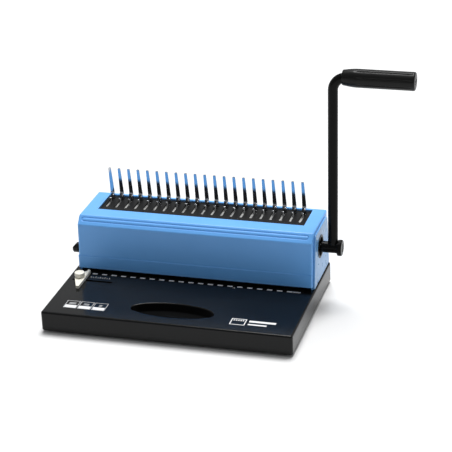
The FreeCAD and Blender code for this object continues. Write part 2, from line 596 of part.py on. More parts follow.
def make_hooks():
    plate = new_body("hook_plate")
    top = "plate_top - 0.5"
    low = "plate_top - 2"
    block(plate, ("-hook_half", "hook_bar_front", low), ("hook_half", "hook_bar_back", top))
    for side in SIDES:
        inner, outer = across(side, "crank_x + crank_sheet + lane_gap", "hook_half")
        block(plate, (inner, "shaft_y + 2", low), (outer, "hook_bar_front + 1", top))
    centre = f"{FIRST_HOLE} + finger_x"
    finger = block(plate, (f"{centre} - 2", "hook_tip", low), (f"{centre} + 2", "hook_bar_front + 1", top))
    row(plate, finger)
    comb_row("hooks", ("hook_width", "hook_sheet", f"plate_sheet + hook_rise + plate_top - ({top})"),
             "finger_x - hook_width / 2", "slot_back - 2 - hook_sheet", top)
    half_swing = "lever_swing / 2 * 1 deg"
    hook_arm = f"hook_stroke / (2 * sin({half_swing}))"
    pin_y, pin_low, pin_high = "shaft_y + hook_stroke / 2", f"shaft_z + {hook_arm} * cos({half_swing})", \
        f"shaft_z + {hook_arm}"
    foot, crown = f"{pin_low} - pin_radius - 0.5", f"{pin_high} + pin_radius + 0.6"
    for side in SIDES:
        yoke = new_body(f"hook_yoke_{side}")
        lane = "crank_x + crank_sheet + lane_gap"
        x, _ = across(side, lane, f"{lane} + yoke_sheet")
        sketch = outline(yoke, "YZ_Plane", x, [
            (f"{pin_y} - fork_gap / 2 - 3.4", foot), (f"{pin_y} - fork_gap / 2", foot),
            (f"{pin_y} - fork_gap / 2", crown), (f"{pin_y} + fork_gap / 2", crown),
            (f"{pin_y} + fork_gap / 2", foot), (f"{pin_y} + fork_gap / 2 + 3.4", foot),
            (f"{pin_y} + fork_gap / 2 + 3.4", low), (f"{pin_y} - fork_gap / 2 - 3.4", low)])
        prism(yoke, sketch, "yoke_sheet")
        slide = new_body(f"hook_rail_{side}")
        inner, outer = across(side, "crank_x - 6", "crank_x + crank_sheet")
        block(slide, (inner, "plate_front + 2", f"{low} - slip - 2.2"),
              (outer, "tine_y - rail_sheet", f"{low} - slip"))


# ---------------------------------------------------------------- cover
def make_cover():
    cover = new_body("top_cover")
    outer = [("cover_front", "cover_lift"), ("cover_front", "band_top"),
             ("cover_front + band_step", "band_top"),
             ("crease_y", "crease_z"), ("bevel_y", "cover_height"), ("cover_back", "cover_height"),
             ("cover_back", "cover_lift")]
    prism(cover, outline(cover, "YZ_Plane", "-cover_left", outer), "cover_left + cover_right")
    ends = (number("-cover_left"), number("cover_right"))
    round_edges(cover, "cover_round",
                lambda e: runs_along(e, "X") and e.BoundBox.ZMin > number("crease_z - 1"))
    round_edges(cover, "cover_round",
                lambda e: any(abs(e.BoundBox.XMin - x) < 1e-6 and e.BoundBox.XLength < 1e-6 for x in ends)
                and e.BoundBox.ZMax > number("band_top + 1"))
    wall = "cover_wall"
    inner = [(f"cover_front + {wall} + 0.2", "-1"), (f"cover_front + {wall} + 0.2", "band_top"),
             (f"crease_y + {wall}", f"crease_z - 0.6"), (f"bevel_y + 0.9", f"cover_height - {wall}"),
             (f"cover_back - {wall}", f"cover_height - {wall}"), (f"cover_back - {wall}", "-1")]
    prism(cover, outline(cover, "YZ_Plane", f"cover_right - {wall}", inner),
          f"cover_left + cover_right - 2 * {wall}", cut=True)
    block(cover, ("-window_left", "window_front", f"cover_height - {wall} - 1"),
          ("window_right", "window_back", "cover_height + 1"), cut=True)
    block(cover, ("-cover_left - 1", "cover_front - 5", "-1"),
          ("cover_right + 1", f"cover_front + {wall} + 2", "throat"), cut=True)
    rod(cover, "X", (f"cover_right - {wall} - 1", "shaft_y", "shaft_z"), "hub_window",
        f"{wall} + 2", cut=True)
    rod(cover, "X", ("-cover_left - 1", "margin_y", "margin_z"), "margin_radius + 0.6",
        f"{wall} + 2", cut=True)
    screws("cover_screws", [(x, "cover_back", "14") for x in ("-110", "-40", "40", "110")],
           axis="Y", shank=4.0)
    for side, start in (("left", "-cover_left - cheek_sheet"), ("right", "cover_right")):
        cheek = new_body(f"cheek_{side}")
        sketch = outline(cheek, "YZ_Plane", start, [
            ("cover_front + 4.6", "cover_lift + 0.6"), ("bevel_y + 0.5", "crease_z - 1"),
            ("bevel_y + 4", "cover_height - 5"), ("cover_back - 9.6", "cover_height - 5"),
            ("cover_back - 2", "throat"), ("cover_back - 2", "cover_lift + 0.6")])
        prism(cheek, sketch, "cheek_sheet")
        if side == "right":
            rod(cheek, "X", (f"{start} - 1", "shaft_y", "shaft_z"), "hub_window", "cheek_sheet + 2", cut=True)
        else:
            rod(cheek, "X", (f"{start} - 1", "margin_y", "margin_z"), "margin_radius + 0.6",
                "cheek_sheet + 2", cut=True)


# ---------------------------------------------------------------- paper guides
def make_edge_guide():
    guide = new_body("edge_guide")
    edge = "-knob_x + 8.3"
    sketch = outline(guide, "XY_Plane", "0.2", [
        (f"{edge} - 4", "guide_slot_y - 28.5"), (edge, "guide_slot_y - 28"), (edge, "guide_slot_y + 23"),
        (f"{edge} - 3.2", "guide_slot_y + 23.4"), (f"{edge} - 15.2", "guide_slot_y + 3"),
        (f"{edge} - 14.6", "guide_slot_y - 4")])
    prism(guide, sketch, "guide_thick")
    block(guide, (f"{edge} - 12.5", "guide_slot_y - guide_slot_width / 2 + slip", "-base_sheet"),
          (f"{edge} - 0.5", "guide_slot_y + guide_slot_width / 2 - slip", "0.3"))
    rod(guide, "Z", ("-knob_x", "guide_slot_y", "-base_sheet - 1"), "stud_radius + fit_gap",
        "guide_thick + base_sheet + 3", cut=True)
    knob = new_body("edge_guide_knob")
    rod(knob, "Z", ("-knob_x", "guide_slot_y", "guide_thick + 0.5"), "guide_knob_radius", "guide_knob_length")
    round_edges(knob, "0.8", lambda e: len(e.Vertexes) == 1)
    rod(knob, "Z", ("-knob_x", "guide_slot_y", "-base_sheet - 5"), "stud_radius",
        "guide_thick + base_sheet + 6")
    clamp = new_body("guide_clamp")
    block(clamp, ("-knob_x - 7", "guide_slot_y - 6", "-base_sheet - 3.3"),
          ("-knob_x + 7", "guide_slot_y + 6", "-base_sheet - slip"))
    rod(clamp, "Z", ("-knob_x", "guide_slot_y", "-base_sheet - 4"), "stud_radius + fit_gap", "5", cut=True)


def make_margin_setting():
    shaft = new_body("margin_shaft")
    wall = "-frame_half - frame_sheet"
    rod(shaft, "X", ("-left_reach + 5", "margin_y", "margin_z"), "margin_radius",
        "left_reach - 5 - frame_half")
    rod(shaft, "X", (f"{wall} - 4.2", "margin_y", "margin_z + margin_throw"), "eccentric_radius", "2.6")
    knob = new_body("margin_knob")
    rod(knob, "X", ("-left_reach", "margin_y", "margin_z"), "margin_knob_radius", "9.5")
    round_edges(knob, "1.5", lambda e: len(e.Vertexes) == 1 and e.BoundBox.XMax < number("-left_reach + 1"))
    rod(knob, "X", ("-left_reach + 5", "margin_y", "margin_z"), "margin_radius", "10", cut=True)
    stop = new_body("depth_stop")
    block(stop, (f"{wall} - 4.4", "stop_front", "0.5"), ("frame_half - 1", "stop_back", "3"))
    block(stop, (f"{wall} - 4.4", "margin_y - 8", "0.5"), (f"{wall} - 1.4", "stop_back", "margin_z + 10"))
    window = "eccentric_radius + 0.4"
    block(stop, (f"{wall} - 5", f"margin_y - ({window})", "margin_z - 6.8"),
          (f"{wall} - 1", f"margin_y + {window}", "margin_z + 6.8"), cut=True)


make_base_shell()
make_recess_cup()
make_bottom()
make_drawer()
make_die_and_guide()
make_frames()
make_punch_bar()
make_punch_yokes()
make_drive()
make_lever()
make_grip()
make_comb_plate()
make_tines()
make_hooks()
make_cover()
make_edge_guide()
make_margin_setting()
doc.recompute()

# ---------------------------------------------------------------- checks and export
for thing in doc.Objects:
    if {"Invalid", "Error"} & set(thing.State):
        raise RuntimeError(f"{thing.Label} failed to build: {thing.State}")
for piece in pieces:
    if piece.Shape.isNull() or not piece.Shape.isValid():
        raise RuntimeError(f"{piece.Label} has no valid shape")
for piece in pieces:
    piece.Shape.exportStep(f"parts/{piece.Label}.step")
    print(f"{piece.Label:22s} {len(piece.Shape.Solids):3d} solids {piece.Shape.Volume:12.1f} mm3")
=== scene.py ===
"""Looks of a manual 21-hole comb binding machine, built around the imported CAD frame.

Shapes are written in machine millimetres: x from the middle of the comb, positive to the lever side;
y from the front edge of the base; z from the base's top surface. place() carries them to the frame.
"""
import json
import math
import bmesh
import bpy
from mathutils import Matrix, Vector


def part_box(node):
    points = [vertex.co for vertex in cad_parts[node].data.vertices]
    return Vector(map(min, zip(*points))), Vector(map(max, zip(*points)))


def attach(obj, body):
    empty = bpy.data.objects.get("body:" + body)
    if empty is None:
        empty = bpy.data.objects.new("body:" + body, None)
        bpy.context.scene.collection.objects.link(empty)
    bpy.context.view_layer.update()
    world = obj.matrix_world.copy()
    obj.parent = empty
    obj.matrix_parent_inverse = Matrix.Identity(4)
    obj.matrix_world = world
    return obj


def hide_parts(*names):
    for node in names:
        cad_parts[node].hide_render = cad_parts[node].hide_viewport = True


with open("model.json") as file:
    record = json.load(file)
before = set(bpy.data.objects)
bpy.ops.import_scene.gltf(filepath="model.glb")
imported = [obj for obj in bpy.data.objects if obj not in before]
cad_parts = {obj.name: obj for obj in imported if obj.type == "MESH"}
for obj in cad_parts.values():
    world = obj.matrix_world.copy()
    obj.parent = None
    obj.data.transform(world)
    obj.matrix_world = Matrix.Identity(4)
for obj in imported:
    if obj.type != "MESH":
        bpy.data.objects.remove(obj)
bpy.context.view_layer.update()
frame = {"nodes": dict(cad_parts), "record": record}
NODES = frame["nodes"]

MM = 0.001
shell_low, shell_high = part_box("base_shell")
ORIGIN = Vector(((shell_low.x + shell_high.x) / 2, shell_low.y, shell_high.z))


SHAFT_Y, SHAFT_Z = 178.0, 49.5            # the lever's shaft
SHAFT_HOLE = 14.5                         # radius of the opening in the cover's right end
MARGIN_Y, MARGIN_Z, MARGIN_HOLE = 150.0, 29.0, 3.6
SLOT_Y, GUIDE_KNOB_X = 105.0, -157.5      # the edge guide's slot and its knob
REAR_Y = 231.6                            # the cover's back face
POINT = 0.05                              # radius that closes a turned shape on its axis


def place(x, y, z):
    """Machine millimetres to frame metres."""
    return ORIGIN + Vector((x, y, z)) * MM


def span(node):
    """A CAD node's lowest and highest corner, in machine millimetres."""
    return [(corner - ORIGIN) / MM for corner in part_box(node)]


# ---------------------------------------------------------------- camera
LENS_MM, SENSOR_MM = 135.96053, 36.0
CAMERA_PLACE = (666.491, -1922.079, 1061.706)
YAW, PITCH, ROLL = (math.radians(a) for a in (-16.6184, 24.3796, -2.27494))
ahead = Vector((math.sin(YAW) * math.cos(PITCH), math.cos(YAW) * math.cos(PITCH), -math.sin(PITCH)))
level = Vector((math.cos(YAW), -math.sin(YAW), 0))
above = level.cross(ahead)
right = level * math.cos(ROLL) + above * math.sin(ROLL)
up = above * math.cos(ROLL) - level * math.sin(ROLL)
lens = bpy.data.cameras.new("camera")
lens.sensor_width = SENSOR_MM
lens.lens = LENS_MM
lens.clip_end = 50
camera = bpy.data.objects.new("camera", lens)
camera.matrix_world = Matrix((right, up, -ahead)).transposed().to_4x4()
camera.location = place(*CAMERA_PLACE)
bpy.context.scene.collection.objects.link(camera)
bpy.context.scene.camera = camera


# ---------------------------------------------------------------- finishes
class Finish:
    """A procedural material: node helpers over one Principled shader."""

    def __init__(self, name, colour, roughness, metallic=0.0, specular=0.5):
        self.material = bpy.data.materials.new(name)
        self.material.use_nodes = True
        self.tree = self.material.node_tree
        self.shader = self.tree.nodes["Principled BSDF"]
        self.set("Base Color", (*colour, 1.0))
        self.set("Roughness", roughness)
        self.set("Metallic", metallic)
        self.set("Specular IOR Level", specular)
        self.roughness = roughness
        self.place = self.node("ShaderNodeTexCoord").outputs["Object"]

    def set(self, socket, value):
        self.shader.inputs[socket].default_value = value

    def node(self, kind, **settings):
        made = self.tree.nodes.new(kind)
        for key, value in settings.items():
            setattr(made, key, value)
        return made

    def link(self, source, target):
        self.tree.links.new(source, target)

    def noise(self, scale, detail=3.0, stretch=None):
        """A noise value, its grain size about 1/scale metres, drawn out along an axis by stretch."""
        source = self.place
        if stretch:
            mapping = self.node("ShaderNodeMapping")
            mapping.inputs["Scale"].default_value = stretch
            self.link(source, mapping.inputs["Vector"])
            source = mapping.outputs["Vector"]
        made = self.node("ShaderNodeTexNoise")
        made.inputs["Scale"].default_value = scale
        made.inputs["Detail"].default_value = detail
        self.link(source, made.inputs["Vector"])
        return made.outputs["Fac"]

    def ranged(self, value, low, high, start=0.3, end=0.7):
        """The value's middle stretch, carried to a new range."""
        made = self.node("ShaderNodeMapRange")
        for name, number in (("From Min", start), ("From Max", end), ("To Min", low), ("To Max", high)):
            made.inputs[name].default_value = number
        self.link(value, made.inputs["Value"])
        return made.outputs["Result"]

    def tint(self, value, colour):
        """Blend towards another colour where the value is high."""
        made = self.node("ShaderNodeMix", data_type="RGBA")
        socket = self.shader.inputs["Base Color"]
        made.inputs["A"].default_value = socket.default_value
        if socket.is_linked:
            self.link(socket.links[0].from_socket, made.inputs["A"])
        made.inputs["B"].default_value = (*colour, 1.0)
        self.link(value, made.inputs["Factor"])
        self.link(made.outputs["Result"], socket)

    def grain(self, value, height):
        """Relief, its height in metres; a second one lies over the first."""
        made = self.node("ShaderNodeBump")
        made.inputs["Strength"].default_value = 1.0
        made.inputs["Distance"].default_value = height
        self.link(value, made.inputs["Height"])
        socket = self.shader.inputs["Normal"]
        if socket.is_linked:
            self.link(socket.links[0].from_socket, made.inputs["Normal"])
        self.link(made.outputs["Normal"], socket)

    def matt(self, value, spread):
        """Roughness that wanders about its set value."""
        self.link(self.ranged(value, self.roughness - spread, self.roughness + spread),
                  self.shader.inputs["Roughness"])

    def worn(self, colour, start=0.53, end=0.62, amount=0.6):
        """Paler or barer edges."""
        edge = self.node("ShaderNodeNewGeometry").outputs["Pointiness"]
        fade = self.ranged(edge, 0.0, amount, start, end)
        patchy = self.node("ShaderNodeMath", operation="MULTIPLY")
        self.link(fade, patchy.inputs[0])
        self.link(self.ranged(self.noise(260.0), 0.2, 1.0), patchy.inputs[1])
        self.tint(patchy.outputs["Value"], colour)


def paint(name, colour, roughness, worn_to, specular=0.5, peel=4e-6):
    """Sprayed paint: slow shifts of tone, orange peel of a given height, worn edges."""
    made = Finish(name, colour, roughness, specular=specular)
    made.tint(made.ranged(made.noise(9.0), 0.0, 1.0), [c * 1.06 for c in colour])
    made.matt(made.noise(45.0), roughness * 0.16)
    made.grain(made.noise(1400.0, 2.0), peel)
    made.worn(worn_to)
    return made.material


def plastic(name, colour, roughness, grain=1.2e-5, scale=2600.0, worn_to=None, specular=0.5):
    """Moulded plastic or rubber with a fine grain of a given height and scale."""
    made = Finish(name, colour, roughness, specular=specular)
    made.tint(made.ranged(made.noise(30.0), 0.0, 1.0), [c * 0.9 for c in colour])
    made.matt(made.noise(70.0), roughness * 0.15)
    made.grain(made.noise(scale, 3.0), grain)
    if worn_to:
        made.worn(worn_to, amount=0.35)
    return made.material


def metal(name, colour, roughness, brushed=None, relief=3e-6, stain=0.12):
    """Bare or plated metal, its fine lines drawn out along an axis by brushed."""
    made = Finish(name, colour, roughness, metallic=1.0)
    made.tint(made.ranged(made.noise(35.0, 4.0), 0.0, stain), [c * 0.6 for c in colour])
    lines = made.noise(900.0, 3.0, brushed)
    made.matt(lines, roughness * 0.3)
    made.grain(lines, relief)
    return made.material


BLUE = (0.120, 0.372, 0.800)
FINISHES = {
    "cover_paint": paint("cover_paint", BLUE, 0.36, (0.36, 0.62, 0.90)),
    "cheek_plastic": plastic("cheek_plastic", (0.16, 0.38, 0.70), 0.30, worn_to=(0.40, 0.60, 0.84),
                             specular=0.4),
    "base_paint": paint("base_paint", (0.0036, 0.0038, 0.0040), 0.16, (0.03, 0.03, 0.03), specular=0.21,
                        peel=1.5e-6),
    "recess_liner": plastic("recess_liner", (0.0025, 0.0025, 0.0022), 0.22, specular=0.16),
    "bottom_steel": paint("bottom_steel", (0.012, 0.012, 0.013), 0.5, (0.10, 0.10, 0.10)),
    "foot_rubber": plastic("foot_rubber", (0.012, 0.012, 0.012), 0.75, grain=3e-5, scale=1500.0),
    "screw_zinc": metal("screw_zinc", (0.62, 0.63, 0.64), 0.28),
    "drawer_plastic": plastic("drawer_plastic", (0.010, 0.010, 0.011), 0.45, grain=2e-5),
    "frame_zinc": metal("frame_zinc", (0.50, 0.51, 0.52), 0.38, (1, 1, 0.1), stain=0.35),
    "die_steel": metal("die_steel", (0.36, 0.36, 0.37), 0.30, (0.05, 1, 1)),
    "bush_bronze": metal("bush_bronze", (0.50, 0.33, 0.14), 0.35),
    "drive_steel": metal("drive_steel", (0.40, 0.41, 0.42), 0.33, (0.08, 1, 1), stain=0.3),
    "punch_steel": metal("punch_steel", (0.58, 0.59, 0.60), 0.2, (1, 1, 0.06)),
    "spring_steel": metal("spring_steel", (0.42, 0.42, 0.43), 0.3),
    "lever_black": paint("lever_black", (0.0034, 0.0036, 0.0034), 0.24, (0.02, 0.02, 0.02), specular=0.09,
                         peel=3e-6),
    "grip_rubber": plastic("grip_rubber", (0.0055, 0.0055, 0.0053), 0.34, grain=1.6e-5, scale=1800.0,
                           specular=0.18),
    "black_plastic": plastic("black_plastic", (0.004, 0.004, 0.004), 0.34, specular=0.2),
    "comb_plate_paint": paint("comb_plate_paint", (0.0036, 0.0036, 0.0038), 0.42, (0.03, 0.03, 0.03),
                              specular=0.14, peel=2e-6),
    "comb_chrome": metal("comb_chrome", (0.74, 0.75, 0.77), 0.15, (1, 1, 0.2), relief=8e-7, stain=0.05),
    "guide_ivory": plastic("guide_ivory", (0.80, 0.775, 0.68), 0.38, grain=8e-6, worn_to=(0.88, 0.86, 0.80)),
}
print_ink = Finish("print_ink", (0.72, 0.73, 0.74), 0.5)
print_ink.tint(print_ink.ranged(print_ink.noise(1200.0), 0.0, 0.35), (0.45, 0.46, 0.48))
print_ink.grain(print_ink.noise(2200.0), 4e-6)


# ---------------------------------------------------------------- mesh helpers
def merged(*shapes):
    """Several (verts, faces) shapes as one."""
    verts, faces = [], []
    for some, joined in shapes:
        start = len(verts)
        verts += [tuple(v) for v in some]
        faces += [tuple(i + start for i in f) for f in joined]
    return verts, faces


def shifted(shape, x):
    verts, faces = shape
    return [(a + x, b, c) for a, b, c in verts], faces


def turned(shape, matrix, centre=(0, 0, 0)):
    """A shape turned by a rotation about a centre."""
    middle = Vector(centre)
    return [tuple(matrix @ (Vector(v) - middle) + middle) for v in shape[0]], shape[1]


def on_axis(axis, along, a, b):
    """A point from its place along an axis and its two other coordinates, in x, y, z order."""
    return {"x": (along, a, b), "y": (a, along, b), "z": (a, b, along)}[axis]


def arc(centre, start, end, radius, steps):
    """Points along the short way round a centre, from one point to another."""
    return [tuple(centre + (start - centre).slerp(end - centre, k / steps).normalized() * radius)
            for k in range(steps + 1)]


def rounded(points, radii, steps=6):
    """A closed outline with its corners rounded."""
    made = []
    for i, corner in enumerate(points):
        here = Vector(corner)
        to_last, to_next = Vector(points[i - 1]) - here, Vector(points[(i + 1) % len(points)]) - here
        radius = radii[i] if isinstance(radii, (list, tuple)) else radii
        half = to_last.angle(to_next) / 2
        reach = min(radius / math.tan(half), to_last.length * 0.49, to_next.length * 0.49)
        if radius <= 0 or reach < 1e-3:
            made.append(tuple(here))
            continue
        radius = reach * math.tan(half)
        start, end = here + to_last.normalized() * reach, here + to_next.normalized() * reach
        centre = here + (to_last.normalized() + to_next.normalized()).normalized() * (radius / math.sin(half))
        made += arc(centre, start, end, radius, steps)
    return made


def prism(outline, axis, start, length):
    """An outline carried along an axis."""
    count = len(outline)
    verts = [on_axis(axis, start + shift, a, b) for shift in (0, length) for a, b in outline]
    faces = [tuple(range(count)), tuple(range(count, 2 * count))]
    faces += [(i, (i + 1) % count, (i + 1) % count + count, i + count) for i in range(count)]
    return verts, faces


def loft(rings):
    """Rings of equal length joined in order, with both ends closed."""
    count = len(rings[0])
    verts = [point for ring in rings for point in ring]
    faces = [tuple(range(count)), tuple(range((len(rings) - 1) * count, len(rings) * count))]
    for r in range(len(rings) - 1):
        for i in range(count):
            j = (i + 1) % count
            faces.append((r * count + i, r * count + j, (r + 1) * count + j, (r + 1) * count + i))
    return verts, faces


def lathe(profile, axis, a, b, segments=48, ribs=None):
    """A turned shape. The profile is (place along the axis, radius); ribs(angle, along) scales the radius."""
    rings = []
    for along, radius in profile:
        ring = []
        for k in range(segments):
            angle = 2 * math.pi * k / segments
            r = radius * (ribs(angle, along) if ribs else 1.0)
            ring.append(on_axis(axis, along, a + r * math.cos(angle), b + r * math.sin(angle)))
        rings.append(ring)
    return loft(rings)


def eased(start, end, radius, edge, steps=5, neck=0.0):
    """A lathe profile: a plain barrel with rounded ends, its caps starting at a neck radius."""
    turn = [math.pi / 2 * k / steps for k in range(steps + 1)]
    front = [(start + edge * (1 - math.cos(t)), radius - edge * (1 - math.sin(t))) for t in turn]
    back = [(end - edge * (1 - math.cos(t)), radius - edge * (1 - math.sin(t))) for t in reversed(turn)]
    return [(start, max(neck, POINT))] + front + back + [(end, max(neck, POINT))]


def make_mesh(name, shape, soften=0.0, segments=2, sharp=32.0):
    """A mesh object from a shape in machine millimetres, its hard edges softened by a radius."""
    mesh = bpy.data.meshes.new(name)
    work = bmesh.new()
    verts = [work.verts.new(place(*v)) for v in shape[0]]
    work.verts.ensure_lookup_table()
    for face in shape[1]:
        if len(set(face)) > 2:
            work.faces.new([verts[i] for i in face])
    bmesh.ops.remove_doubles(work, verts=work.verts, dist=1e-7)
    bmesh.ops.recalc_face_normals(work, faces=work.faces)
    if soften:
        hard = [e for e in work.edges if len(e.link_faces) == 2 and e.calc_face_angle(0) > math.radians(sharp)]
        bmesh.ops.bevel(work, geom=hard, offset=soften * MM, segments=segments, profile=0.5, affect="EDGES",
                        clamp_overlap=True)
    work.to_mesh(mesh)
    work.free()
    return bpy.data.objects.new(name, mesh)


def cut(target, *shapes):
    """Take solid shapes out of a mesh object."""
    for shape in shapes:
        tool = make_mesh("tool", shape)
        bpy.context.scene.collection.objects.link(tool)
        boolean = target.modifiers.new("cut", "BOOLEAN")
        boolean.operation, boolean.solver, boolean.object = "DIFFERENCE", "EXACT", tool
        graph = bpy.context.evaluated_depsgraph_get()
        graph.update()
        made = bpy.data.meshes.new_from_object(target.evaluated_get(graph))
        target.modifiers.clear()
        old, target.data = target.data, made
        bpy.data.meshes.remove(old)
        bpy.data.objects.remove(tool)


def piece(name, shape, body, slot, stands_for=(), soften=0.0, segments=2, cuts=(), finish=None, sharp=32.0):
    """A finished piece of the machine, riding on a CAD body."""
    made = make_mesh(name, shape, soften, segments, sharp)
    bpy.context.scene.collection.objects.link(made)
    cut(made, *cuts)
    made.data.polygons.foreach_set("use_smooth", [True] * len(made.data.polygons))
    made.data.set_sharp_from_angle(angle=math.radians(sharp))
    weighted = made.modifiers.new("weighted", "WEIGHTED_NORMAL")
    weighted.keep_sharp = True
    weighted.weight = 90
    made.data.materials.clear()
    made.data.materials.append(finish or FINISHES[slot])
    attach(made, body)
    if stands_for:
        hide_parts(*stands_for)
    return made


def box(low, high):
    (x0, y0, z0), (x1, y1, z1) = low, high
    return prism([(x0, y0), (x1, y0), (x1, y1), (x0, y1)], "z", z0, z1 - z0)


# CAD nodes keep their shape and take the finish of their slot
for part in frame["record"]["subparts"]:
    node = NODES[part["node"]]
    node.data.materials.clear()
    node.data.materials.append(FINISHES[part["material_slot"]])

PITCH_MM, HOLES = 14.2875, 21
HOLE_X = [(i - (HOLES - 1) / 2) * PITCH_MM for i in range(HOLES)]
FINGER_X = [x + 1.25 for x in HOLE_X]     # tines and hooks stand a little beside the holes


# ---------------------------------------------------------------- base
RECESS_HALF, RECESS_MIDDLE, RECESS_FRONT, RECESS_BACK, RECESS_DEEP = 59.0, 38.0, 18.0, 60.5, 11.0
RECESS_LIP = 1.5                          # radius of the rolled edge round the recess


def recess_outline(grow=0.0, steps=96):
    """The finger recess's oval outline, fuller at the back."""
    made = []
    for k in range(steps):
        turn = 2 * math.pi * k / steps
        reach = RECESS_BACK - RECESS_MIDDLE if math.sin(turn) > 0 else RECESS_MIDDLE - RECESS_FRONT
        made.append(((RECESS_HALF + grow) * math.cos(turn), RECESS_MIDDLE + (reach + grow) * math.sin(turn)))
    return made


def base_look():
    low, high = span("base_shell")
    wide, deep, tall = high.x, high.y, -low.z
    edge, corner, sheet = 3.0, 4.0, 1.6
    turns = [math.pi / 2 * k / 8 for k in range(9)]
    levels = [(0.9, -tall), (0.25, -tall + 0.4), (0.0, -tall + 1.1)]
    levels += [(edge * (1 - math.cos(t)), -edge * (1 - math.sin(t))) for t in turns]
    shape = []
    for inset, z in levels:
        corners = [(-wide + inset, inset), (wide - inset, inset), (wide - inset, deep - inset),
                   (-wide + inset, deep - inset)]
        shape.append([(x, y, z) for x, y in rounded(corners, corner - inset, 10)])
    slot_left, slot_right, slot_half = -169.2, -109.3, 2.3
    slot = [(slot_left, SLOT_Y - slot_half), (slot_right, SLOT_Y - slot_half), (slot_right, SLOT_Y + slot_half),
            (slot_left, SLOT_Y + slot_half)]
    hollow = box((-wide + sheet, sheet, -tall + 1.5), (wide - sheet, deep - sheet, -sheet))
    open_bottom = box((-wide + 10, 10, -tall - 1), (wide - 10, deep - 10, -tall + 1.6))
    chip_opening = box((-153, 141.15, -3), (153, 152.85, 1))
    drawer_opening = box((-wide - 1, 127.4, -25.8), (-wide + 3, 166.6, -7.4))
    cuts = [hollow, open_bottom, prism(recess_outline(RECESS_LIP), "z", -3, 5),
            prism(rounded(slot, slot_half - 0.01, 8), "z", -3, 5), chip_opening, drawer_opening]
    piece("base_shell_look", loft(shape), "machine", "base_paint", ["base_shell"], cuts=cuts)


def recess_look():
    """A smooth scoop, steep at the back and easy at the front, under a rolled lip."""
    outline, roll, skirt = recess_outline(), RECESS_LIP, 1.65
    steep = [max(0.0, min(1.0, (y - RECESS_MIDDLE + 8.0) / 18.0)) for x, y in outline]
    drop = [0.15 + 0.85 * w for w in steep]
    rings = [[(x, y, z) for x, y in recess_outline(skirt)] for z in (-RECESS_DEEP - 3.2, -0.02)]
    for k in range(1, 7):
        turn = math.pi / 2 * k / 6
        ring = recess_outline(roll * (1 - math.sin(turn)))
        rings.append([(x, y, (roll * math.cos(turn) - roll) * d) for (x, y), d in zip(ring, drop)])
    for inward in (0.02, 0.05, 0.08, 0.1, 0.16, 0.23, 0.31, 0.4, 0.5, 0.6, 0.7, 0.8, 0.9, 1.0):
        wall, slope = min(1.0, 10 * inward), inward * inward * (3 - 2 * inward)
        ring = []
        for (x, y), w, d in zip(outline, steep, drop):
            bottom = Vector((0.78 * x, RECESS_MIDDLE + 6.0 + 0.08 * (y - RECESS_MIDDLE)))
            spot = Vector((x, y)).lerp(bottom, inward)
            start = roll * d
            ring.append((spot.x, spot.y, -start - (RECESS_DEEP - start) * (w * wall + (1 - w) * slope)))
        rings.append(ring)
    piece("recess_scoop", loft(rings), "machine", "recess_liner", ["recess_cup"], sharp=60,
          finish=FINISHES["base_paint"])


def prints_look():
    """Generic printed marks: the hole row, stop ticks, paper-format boxes and a page-and-holes sign."""
    ink = 0.06
    shapes = []

    def mark(x0, y0, x1, y1):
        shapes.append(box((x0, y0, 0.0), (x1, y1, ink)))

    def frame_mark(x0, y0, x1, y1, line=0.5):
        mark(x0, y0, x1, y0 + line)
        mark(x0, y1 - line, x1, y1)
        mark(x0, y0 + line, x0 + line, y1 - line)
        mark(x1 - line, y0 + line, x1, y1 - line)

    for x in HOLE_X:                      # one dash before each hole
        mark(x - 3.8, 125.9, x + 3.8, 129.0)
    for k in range(6):                    # fine ticks past the row's right end
        mark(147.6 + 1.9 * k, 125.6, 148.7 + 1.9 * k, 129.2)
    for k in range(9):                    # the edge guide's scale, every other tick longer
        mark(-145.0 + 3.4 * k, 114.6, -144.3 + 3.4 * k, 117.6 if k % 2 else 118.8)
    for k in range(2):                    # a small double tick under the row
        mark(62.2 + 2.0 * k, 122.4, 63.2 + 2.0 * k, 124.6)
    box_wide, box_step, box_front, box_back = 18.6, 20.4, 20.0, 41.0
    for k in range(3):                    # paper formats: a box, its solid foot and two shrinking bars
        x, shorter = -151.4 + box_step * k, 1.4 * k
        frame_mark(x, box_front, x + box_wide, box_back)
        mark(x + 1.0, box_front + 1.0, x + box_wide - 1.0, 28.4)
        for y in (31.5, 34.5):
            mark(x + 4.2 + shorter, y, x + 14.4 - shorter, y + 0.9)
    frame_mark(86.0, 18.0, 107.0, 35.5, 1.3)
    for k in range(5):                    # the sign's row of holes
        mark(89.0 + 3.2 * k, 29.6, 91.0 + 3.2 * k, 32.4)
    mark(111.0, 28.2, 148.0, 33.2)
    mark(111.0, 20.2, 137.0, 23.6)
    piece("print_marks", merged(*shapes), "machine", "base_paint", finish=print_ink.material)


# ---------------------------------------------------------------- cover
FRONT_LINE = [(135.0, 0.4), (135.0, 24.3), (137.0, 71.0), (148.0, 82.2), (REAR_Y, 82.2), (REAR_Y, 0.4)]
CORNER_ROUND = {2: 3.0, 3: 3.6, 4: 2.6}
STRAIGHT_STEPS = {2: 6, 3: 44, 4: 4}
BAND_STEP, BAND_TURN, BAND_FILLET, BAND_TOP = 1.1, 22.9, 1.4, 24.3
END_ROUND = 2.0
GROOVE_LEFT, GROOVE_RIGHT, GROOVE_T, GROOVE_HALF, GROOVE_DEEP = -163.0, 167.0, 8.9, 2.75, 0.85


def meet(p, d, q, e):
    """Where the line through p along d meets the line through q along e."""
    scale = d.x * e.y - d.y * e.x
    t = ((q.x - p.x) * e.y - (q.y - p.y) * e.x) / scale
    return p + d * t


